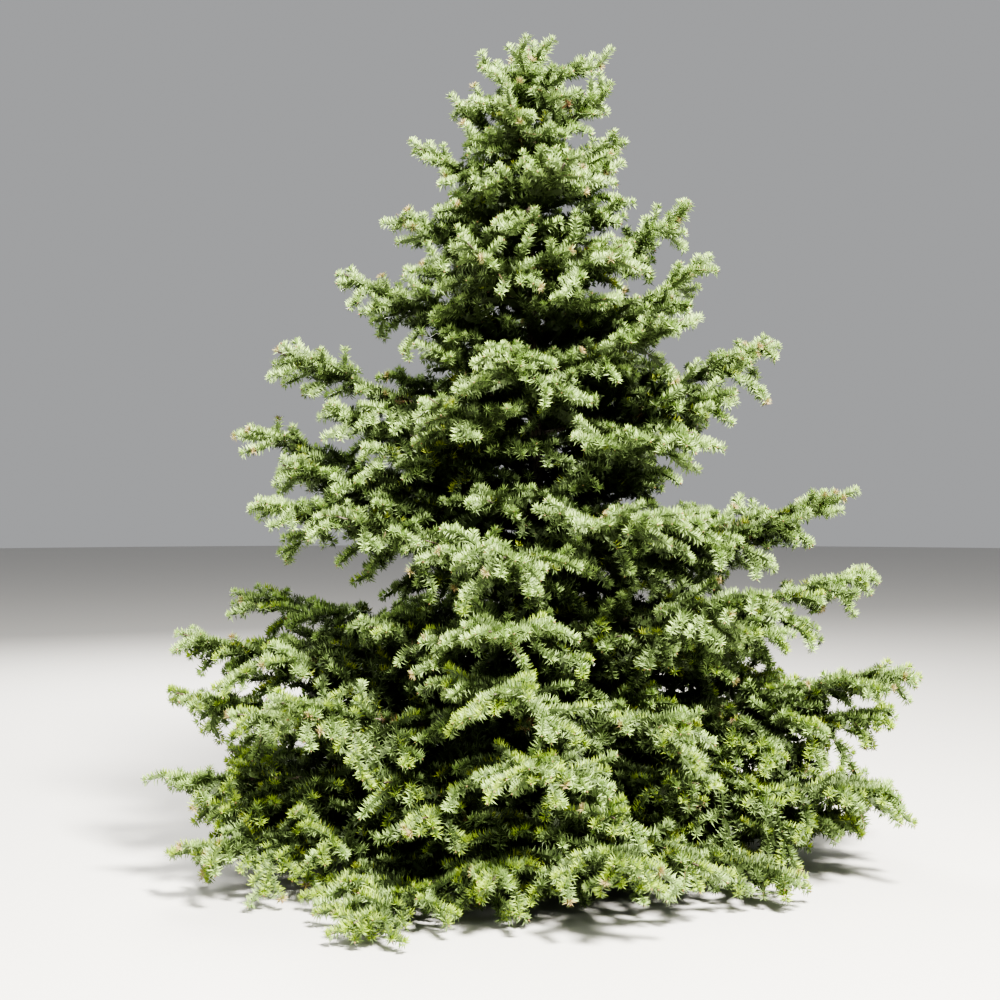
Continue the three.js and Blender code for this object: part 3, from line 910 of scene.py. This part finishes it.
def needle_mesh(shoots, light, rng, sizes):
    """Corners, triangles and tones of all the needles on the shoots."""
    own, root, way_out, flat, radial, s, at_tip = needle_places(shoots, rng, sizes)
    total = len(own)
    twist = rng.uniform(-NEEDLE_TWIST, NEEDLE_TWIST, total)[:, None]
    flat = flat * np.cos(twist) + np.cross(way_out, flat) * np.sin(twist)
    size = sizes.needle_length / MM * rng.uniform(*NEEDLE_SIZES, total)
    size = (size * np.where(at_tip, TIP_SIZE, 1))[:, None]
    wide = sizes.needle_width / MM * rng.uniform(*NEEDLE_WIDTHS, total)[:, None]
    foot = root - flat * wide / 3
    belly = foot + flat * wide + way_out * size * NEEDLE_BELLY
    corners = np.stack((foot, belly, foot + way_out * size), 1)
    kept = corners[:, :, 2].min(1) > NEEDLE_LOWEST
    corners = corners[kept]
    own_tone = deal_tones(shoots, light, rng)
    tone = own_tone[own[kept]]
    under = np.array([TONES.index(SHADE_AND_AGE_TONE[name]) for name in TONES])
    # Near a shoot's foot the deeper tone stands partly for older needles and partly for painted shade.
    old = rng.random(len(tone)) < np.interp(s[kept], AGE_AND_SHADE_SPAN, AGE_AND_SHADE_SHARE)
    # Needles under the shoot take the deeper tone as painted shade.
    deeper = (radial[kept, 2] < PAINTED_SHADE_SINE) | old
    tone = np.where(deeper, under[tone], tone)
    tanned = (rng.random(len(shoots)) < TANNED_TIPS) & (light > BUD_LIGHT)
    tone[at_tip[kept] & tanned[own[kept]]] = TONES.index("straw")
    faces = np.arange(3 * len(corners)).reshape(-1, 3)
    # Each sleeve takes its shoot's tone two steps deeper, as painted shade inside the shoot.
    corners, faces = joined([(corners.reshape(-1, 3), faces), sleeves(shoots, rng)])
    return corners, faces, np.concatenate((tone, np.repeat(under[under[own_tone]], len(SLEEVE_SHAPE))))


def bud_mesh(shoots, light, rng, sizes):
    """Corners and triangles of a plump bud at the end of most outer shoots."""
    chosen = shoots[(shoots[:, 8] > 0.5) & (light > BUD_LIGHT)]
    chosen = chosen[rng.random(len(chosen)) < BUD_SHARE]
    tangent = chosen[:, 3:6] + UP * 2 * chosen[:, 7:8]
    tangent /= length_of(tangent)
    tip = ends_of(chosen) + tangent * BUD_BEYOND
    side, other = sides_of(tangent)
    long = sizes.bud_length / MM * rng.uniform(*BUD_SIZES, len(chosen))[:, None]
    place, radius = BUD_RING
    ring = [
        tip + tangent * long * place + (side * math.cos(turn) + other * math.sin(turn)) * long * radius
        for turn in (0, math.pi / 2, math.pi, 3 * math.pi / 2)
    ]
    corners = np.stack((tip - tangent * long * BUD_BACK, *ring, tip + tangent * long), 1)
    shape = np.array([(0, (j + 1) % 4 + 1, j + 1) for j in range(4)]
                     + [(5, j + 1, (j + 1) % 4 + 1) for j in range(4)])
    return corners.reshape(-1, 3), repeated(shape, corners.shape[1], len(chosen))


def number_property(name, description, number, **kind):
    return FloatProperty(name=name, description=description, default=number, **kind)


SMALL = {"unit": "LENGTH", "precision": 4}


class SpruceSizes(PropertyGroup):
    """Sizes of the finest growth."""

    needle_length: number_property("Needle length", "Length of a needle", 0.036, **SMALL)
    needle_width: number_property("Needle width", "Width of a needle", 0.0056, **SMALL)
    needle_pitch: number_property(
        "Needle pitch", "Step along a shoot from one needle to the next", 0.00168, **SMALL)
    bud_length: number_property("Bud length", "Length of a bud", 0.008, **SMALL)
    bark_relief: number_property("Bark relief", "Height of the bark's plates", 0.0022, **SMALL)


def colour_property(name, description, colour):
    return FloatVectorProperty(
        name=name, description=description, default=colour, subtype="COLOR", min=0, max=1)


class SpruceColours(PropertyGroup):
    """Colours of the needles, wood and buds."""

    # The deeper tones are dealt mostly as painted shade: in the crown's shade, under the shoots, at their
    # foot and on the sleeves.
    silver: colour_property("Silver", "Needles with the most bloom", (0.42, 0.565, 0.215))
    fresh: colour_property("Fresh", "Lit needles near the ground", (0.385, 0.515, 0.1))
    glaucous: colour_property("Glaucous", "Needles with some bloom", (0.22, 0.3, 0.122))
    green: colour_property("Green", "Needles with little bloom", (0.097, 0.137, 0.054))
    deep: colour_property("Deep", "Old needles in the shade", (0.046, 0.066, 0.024))
    lime: colour_property("Lime", "Yellower needles inside the crown", (0.22, 0.27, 0.045))
    straw: colour_property("Straw", "Tan needles at a few tips", (0.4, 0.34, 0.17))
    dead: colour_property("Dead", "Brown needles", (0.16, 0.105, 0.055))
    bark: colour_property("Bark", "Face of the bark's plates", (0.165, 0.125, 0.095))
    crack: colour_property("Crack", "Cracks between the bark's plates", (0.06, 0.036, 0.025))
    lichen: colour_property("Grey bloom", "Grey on old bark", (0.25, 0.235, 0.205))
    twig: colour_property("Twig", "Bark of the twigs", (0.2, 0.13, 0.085))
    bud: colour_property("Bud", "Buds", (0.42, 0.24, 0.13))


class SpruceStudio(PropertyGroup):
    """The floor and the light."""

    key_power: number_property("Key light", "Power of the key light", 4000, subtype="POWER")
    fill_power: number_property("Fill light", "Power of the fill light", 220, subtype="POWER")
    back_power: number_property("Back light", "Power of the light behind", 1100, subtype="POWER")
    sky: number_property("Surround", "Strength of the even surrounding light", 0.33)
    floor: colour_property("Floor", "Colour of the floor", (0.62, 0.61, 0.59))


def shader_of(name):
    """A new material and its Principled shader."""
    material = bpy.data.materials.new(name)
    material.use_nodes = True
    return material, material.node_tree.nodes["Principled BSDF"]


def plain_material(name, colour, roughness):
    material, shader = shader_of(name)
    shader.inputs["Base Color"].default_value = (*colour, 1)
    shader.inputs["Roughness"].default_value = roughness
    shader.inputs["Specular IOR Level"].default_value = 0.25
    return material


def add_node(tree, kind, values=(), sources=(), **settings):
    """A new node, with values on some of its inputs and links into others."""
    node = tree.nodes.new(f"ShaderNode{kind}")
    for name, setting in settings.items():
        setattr(node, name, setting)
    for socket, value in values:
        node.inputs[socket].default_value = value
    for socket, source in sources:
        tree.links.new(source, node.inputs[socket])
    return node


def bark_group():
    """Scaly plates: a mask of cracks, a mask of grey bloom, and a height."""
    group = bpy.data.node_groups.get("Bark plates")
    if group:
        return group
    group = bpy.data.node_groups.new("Bark plates", "ShaderNodeTree")
    for name, value in (("Plate Size", 70.0), ("Stretch", 0.4)):
        socket = group.interface.new_socket(name=name, in_out="INPUT", socket_type="NodeSocketFloat")
        socket.default_value = value
    for name in ("Crack", "Bloom", "Height"):
        group.interface.new_socket(name=name, in_out="OUTPUT", socket_type="NodeSocketFloat")
    given = group.nodes.new("NodeGroupInput").outputs
    made = group.nodes.new("NodeGroupOutput")
    place = add_node(group, "TexCoord").outputs["Object"]
    stretch = add_node(group, "CombineXYZ", (("X", 1), ("Y", 1)), (("Z", given["Stretch"]),))
    scaled = add_node(
        group, "VectorMath", sources=((0, place), (1, stretch.outputs["Vector"])),
        operation="MULTIPLY").outputs["Vector"]
    warp = add_node(group, "TexNoise", (("Scale", 70), ("Detail", 4)), (("Vector", scaled),)).outputs
    bent = add_node(
        group, "VectorMath", ((1, (0.022, 0.022, 0.022)),), ((0, warp["Color"]), (2, scaled)),
        operation="MULTIPLY_ADD")
    plates = add_node(
        group, "TexVoronoi", sources=(("Vector", bent.outputs["Vector"]), ("Scale", given["Plate Size"])),
        feature="DISTANCE_TO_EDGE")
    frayed = add_node(
        group, "Math", ((1, 0.3),), ((0, warp["Fac"]), (2, plates.outputs["Distance"])),
        operation="MULTIPLY_ADD")
    crack = add_node(
        group, "MapRange", (("From Min", 0.14), ("From Max", 0.34), ("To Min", 1), ("To Max", 0)),
        (("Value", frayed.outputs["Value"]),)).outputs["Result"]
    cloud = add_node(group, "TexNoise", (("Scale", 9), ("Detail", 4)), (("Vector", place),))
    bloom = add_node(
        group, "MapRange", (("From Min", 0.45), ("From Max", 0.7)), (("Value", cloud.outputs["Fac"]),))
    grain = add_node(group, "TexNoise", (("Scale", 240), ("Detail", 3)), (("Vector", scaled),))
    height = add_node(
        group, "Math", sources=((0, grain.outputs["Fac"]), (1, crack)), operation="SUBTRACT")
    group.links.new(crack, made.inputs["Crack"])
    group.links.new(bloom.outputs["Result"], made.inputs["Bloom"])
    group.links.new(height.outputs["Value"], made.inputs["Height"])
    return group


def bark_material(name, colours, look):
    """Grey brown plates with darker cracks between them, and grey bloom over parts."""
    material, shader = shader_of(name)
    tree = material.node_tree
    plates = tree.nodes.new("ShaderNodeGroup")
    plates.node_tree = bark_group()
    for socket, value in zip(("Plate Size", "Stretch"), look):
        plates.inputs[socket].default_value = value
    masks = plates.outputs
    bloom = add_node(
        tree, "Mix", (("A", (*colours.bark, 1)), ("B", (*colours.lichen, 1))),
        (("Factor", masks["Bloom"]),), data_type="RGBA")
    crack = add_node(
        tree, "Mix", (("B", (*colours.crack, 1)),),
        (("Factor", masks["Crack"]), ("A", bloom.outputs["Result"])), data_type="RGBA")
    rough = add_node(
        tree, "MapRange", (("To Min", 0.8), ("To Max", 0.95)), (("Value", masks["Crack"]),))
    bump = add_node(
        tree, "Bump", (("Strength", 0.6), ("Distance", 0.002)), (("Height", masks["Height"]),))
    tree.links.new(crack.outputs["Result"], shader.inputs["Base Color"])
    tree.links.new(rough.outputs["Result"], shader.inputs["Roughness"])
    tree.links.new(bump.outputs["Normal"], shader.inputs["Normal"])
    return material


def plate_height(x, y, z):
    """How far the bark stands out here, from 0 in a crack to 1 on a plate."""
    near, _ = noise.voronoi(Vector((x, y, z)))
    edge = min(1, (near[1] - near[0]) / CRACK_WIDTH)
    grain = noise.noise(Vector((x, y, z)) * GRAIN_FINER)
    return edge * (1 - GRAIN_SHARE + GRAIN_SHARE * grain)


def upright_edges(mesh):
    """Selects the edges that run up a standing cylinder and nothing else."""
    bpy.ops.object.mode_set(mode="OBJECT")
    places = [vertex.co.copy() for vertex in mesh.vertices]
    for vertex in mesh.vertices:
        vertex.select = False
    for face in mesh.polygons:
        face.select = False
    for edge in mesh.edges:
        a, b = (places[i] for i in edge.vertices)
        edge.select = abs(a.z - b.z) > 1e-5
    bpy.ops.object.mode_set(mode="EDIT")
    bpy.ops.mesh.select_mode(type="EDGE")


def standing_cylinder(name, sides, cuts):
    """A cylinder one unit tall and wide, cut into many rings."""
    bpy.ops.object.select_all(action="DESELECT")
    bpy.ops.mesh.primitive_cylinder_add(
        vertices=sides, radius=1, depth=1, end_fill_type="NGON", location=(0, 0, 0.5))
    piece = bpy.context.object
    bpy.ops.object.transform_apply(location=True, rotation=False, scale=False)
    piece.name = piece.data.name = name
    for number in cuts:
        bpy.ops.object.mode_set(mode="EDIT")
        bpy.ops.mesh.select_mode(type="EDGE")
        upright_edges(piece.data)
        bpy.ops.mesh.subdivide(number_cuts=number)
        bpy.ops.object.mode_set(mode="OBJECT")
    bpy.ops.object.shade_smooth()
    return piece


def corners_of(mesh):
    places = np.empty(len(mesh.vertices) * 3, np.float32)
    mesh.vertices.foreach_get("co", places)
    return places.reshape(-1, 3).astype(float)


def place_corners(mesh, places):
    mesh.vertices.foreach_set("co", (places * MM).astype(np.float32).ravel())
    mesh.update()


class SPRUCE_OT_trunk(Operator):
    """Model the trunk, with its root flare and scaly bark"""

    bl_idname = "spruce.trunk"
    bl_label = "Trunk"

    def execute(self, context):
        scene = context.scene
        relief = scene.spruce_sizes.bark_relief / MM
        piece = standing_cylinder("trunk_bark", TRUNK_SIDES, TRUNK_CUTS)
        places = corners_of(piece.data)
        across, tall = TRUNK_PLATES
        swell_height, swell_across, swell_tall = TRUNK_SWELL
        for i, (x, y, z) in enumerate(places):
            height = TRUNK_TOP * clamp(z, 0, 1) ** STATION_CROWDING
            angle = math.atan2(y, x)
            radius = trunk_radius(height, angle)
            plate = plate_height(math.cos(angle) * across, math.sin(angle) * across, height / tall)
            swell = noise.noise(Vector((x * swell_across, y * swell_across, height / swell_tall)))
            rise = relief * (plate - PLATE_LEVEL) + swell_height * swell
            radius += rise * min(1, radius / THIN_BELOW)
            places[i] = trunk_axis(height) + np.array((x, y, 0)) * radius
        place_corners(piece.data, places)
        piece.data.materials.append(bark_material("Trunk bark", scene.spruce_colours, TRUNK_BARK))
        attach(piece, BODY)
        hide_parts("trunk")
        return {"FINISHED"}


class SPRUCE_OT_boughs(Operator):
    """Model the boughs: one limb is made, then copied along each bough's line"""

    bl_idname = "spruce.boughs"
    bl_label = "Boughs"

    def execute(self, context):
        scene = context.scene
        relief = scene.spruce_sizes.bark_relief / MM
        limb = standing_cylinder("limb", LIMB_SIDES, (LIMB_CUTS,))
        shape = corners_of(limb.data)
        copies = [limb]
        for _ in all_boughs()[1:]:
            copy = limb.copy()
            copy.data = limb.data.copy()
            scene.collection.objects.link(copy)
            copies.append(copy)
        for bough, copy in zip(all_boughs(), copies):
            place_corners(copy.data, limb_places(bough, shape, relief))
        bpy.ops.object.select_all(action="DESELECT")
        for copy in copies:
            copy.select_set(True)
        context.view_layer.objects.active = limb
        bpy.ops.object.join()
        limb.name = limb.data.name = "bough_bark"
        limb.data.materials.append(bark_material("Bough bark", scene.spruce_colours, LIMB_BARK))
        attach(limb, BODY)
        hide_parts(*(f"bough_{name}" for name in WITH_LIMB))
        return {"FINISHED"}


def limb_places(bough, shape, relief):
    """Where the corners of a standing cylinder go to make this bough."""
    places = np.empty_like(shape)
    across, tall = LIMB_PLATES
    swell_height, swell_tall = LIMB_SWELL
    for i, (x, y, z) in enumerate(shape):
        t = clamp(z, 0, 1) * LIMB_END
        way = bough.way(t)
        side = unit(np.cross(way, UP))
        other = np.cross(way, side)
        collar = math.exp(-t * bough.reach / COLLAR_LENGTH) * COLLAR_GROWS
        radius = bough.radius(t) * (1 + collar)
        along = t * bough.reach
        plate = plate_height(x * across + bough.number, y * across, along / tall)
        swell = noise.noise(Vector((x, y, along / swell_tall)))
        rise = relief * LIMB_RELIEF * (plate - PLATE_LEVEL) + swell_height * swell
        radius += rise * (1 - LIMB_RELIEF_FADES * t)
        places[i] = bough.at(t) + (side * x + other * y) * radius
    return places


class SPRUCE_OT_twigs(Operator):
    """Grow the twigs of every mass"""

    bl_idname = "spruce.twigs"
    bl_label = "Twigs"

    def execute(self, context):
        colours = context.scene.spruce_colours
        material = plain_material("Twig bark", colours.twig, 0.8)
        for whorl in WHORLS:
            stems = [stem for growth in growths() if growth.whorl == whorl for stem in growth.stems]
            corners, faces = joined([tube(*stem) for stem in stems])
            piece = mesh_from(f"twigs_{whorl}", corners, faces, np.zeros(len(faces)), [material])
            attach(piece, BODY)
            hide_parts(*masses_of(whorl))
        return {"FINISHED"}


class SPRUCE_OT_needles(Operator):
    """Set the needles on every shoot, in tones dealt out shoot by shoot"""

    bl_idname = "spruce.needles"
    bl_label = "Needles"

    def execute(self, context):
        scene = context.scene
        materials = [
            plain_material(f"Needles {tone}", getattr(scene.spruce_colours, tone), 0.5) for tone in TONES]
        for number, whorl in enumerate(WHORLS):
            rng = np.random.default_rng((SEED, NEEDLE_DRAWS + number))
            corners, faces, tones = needle_mesh(*shoot_table(whorl), rng, scene.spruce_sizes)
            piece = mesh_from(f"needles_{whorl}", corners, faces, tones, materials)
            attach(piece, BODY)
            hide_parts(*masses_of(whorl))
        return {"FINISHED"}


class SPRUCE_OT_buds(Operator):
    """Set a bud at the end of the outer shoots"""

    bl_idname = "spruce.buds"
    bl_label = "Buds"

    def execute(self, context):
        scene = context.scene
        rng = np.random.default_rng((SEED, BUD_DRAWS))
        parts = [bud_mesh(*shoot_table(whorl), rng, scene.spruce_sizes) for whorl in WHORLS]
        corners, faces = joined(parts)
        material = plain_material("Buds", scene.spruce_colours.bud, 0.6)
        piece = mesh_from("buds", corners, faces, np.zeros(len(faces)), [material])
        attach(piece, BODY)
        return {"FINISHED"}


def area_light(name, power, place, size, colour):
    light = bpy.data.lights.new(name, "AREA")
    light.shape = "DISK"
    light.size = size
    light.energy = power
    light.color = colour
    lamp = bpy.data.objects.new(name, light)
    lamp.location = place
    lamp.rotation_euler = (Vector(LIT_POINT) - Vector(place)).to_track_quat("-Z", "Y").to_euler()
    bpy.context.scene.collection.objects.link(lamp)


class SPRUCE_OT_studio(Operator):
    """Set the floor, the light and the camera"""

    bl_idname = "spruce.studio"
    bl_label = "Studio"

    def execute(self, context):
        scene = context.scene
        studio = scene.spruce_studio
        bpy.ops.object.select_all(action="DESELECT")
        bpy.ops.mesh.primitive_circle_add(
            vertices=FLOOR_SIDES, radius=FLOOR_RADIUS, fill_type="NGON", location=(0, 0, -FLOOR_DROP))
        floor = context.object
        floor.name = "floor"
        bpy.ops.object.transform_apply(location=True, rotation=False, scale=False)
        floor.data.materials.append(plain_material("Floor", studio.floor, 0.85))
        scene.view_settings.look = "AgX - High Contrast"
        world = bpy.data.worlds.new("Studio")
        scene.world = world
        world.use_nodes = True
        back = world.node_tree.nodes["Background"]
        back.inputs["Color"].default_value = (*SKY_COLOUR, 1)
        back.inputs["Strength"].default_value = studio.sky
        area_light("key", studio.key_power, *KEY_LIGHT)
        area_light("fill", studio.fill_power, *FILL_LIGHT)
        area_light("back", studio.back_power, *BACK_LIGHT)
        camera = bpy.data.cameras.new("camera")
        camera.lens = CAMERA_LENS
        camera.sensor_width = 36
        camera.clip_end = 200
        eye = bpy.data.objects.new("camera", camera)
        eye.location = CAMERA_PLACE
        eye.rotation_euler = (math.radians(90 - CAMERA_DIP), 0, 0)
        scene.collection.objects.link(eye)
        scene.camera = eye
        return {"FINISHED"}


class SPRUCE_PT_sidebar(Panel):
    """The steps of making the spruce"""

    bl_idname = "SPRUCE_PT_sidebar"
    bl_label = "White spruce"
    bl_space_type = "VIEW_3D"
    bl_region_type = "UI"
    bl_category = "Spruce"

    def draw(self, context):
        scene = context.scene
        for settings in (scene.spruce_sizes, scene.spruce_colours, scene.spruce_studio):
            box = self.layout.box()
            for name in settings.bl_rna.properties.keys():
                if name not in ("rna_type", "name"):
                    box.prop(settings, name)
        for step in STEPS:
            self.layout.operator(step.bl_idname)


SETTINGS = (SpruceSizes, SpruceColours, SpruceStudio)
STEPS = (
    SPRUCE_OT_studio,
    SPRUCE_OT_trunk,
    SPRUCE_OT_boughs,
    SPRUCE_OT_twigs,
    SPRUCE_OT_needles,
    SPRUCE_OT_buds,
)
CLASSES = (*SETTINGS, *STEPS, SPRUCE_PT_sidebar)


def register():
    for made in CLASSES:
        bpy.utils.register_class(made)
    bpy.types.Scene.spruce_sizes = PointerProperty(type=SpruceSizes)
    bpy.types.Scene.spruce_colours = PointerProperty(type=SpruceColours)
    bpy.types.Scene.spruce_studio = PointerProperty(type=SpruceStudio)


def unregister():
    del bpy.types.Scene.spruce_studio
    del bpy.types.Scene.spruce_colours
    del bpy.types.Scene.spruce_sizes
    for made in reversed(CLASSES):
        bpy.utils.unregister_class(made)


def main():
    register()
    bpy.ops.spruce.studio()
    bpy.ops.spruce.trunk()
    bpy.ops.spruce.boughs()
    bpy.ops.spruce.twigs()
    bpy.ops.spruce.needles()
    bpy.ops.spruce.buds()


if __name__ == "__main__":
    main()
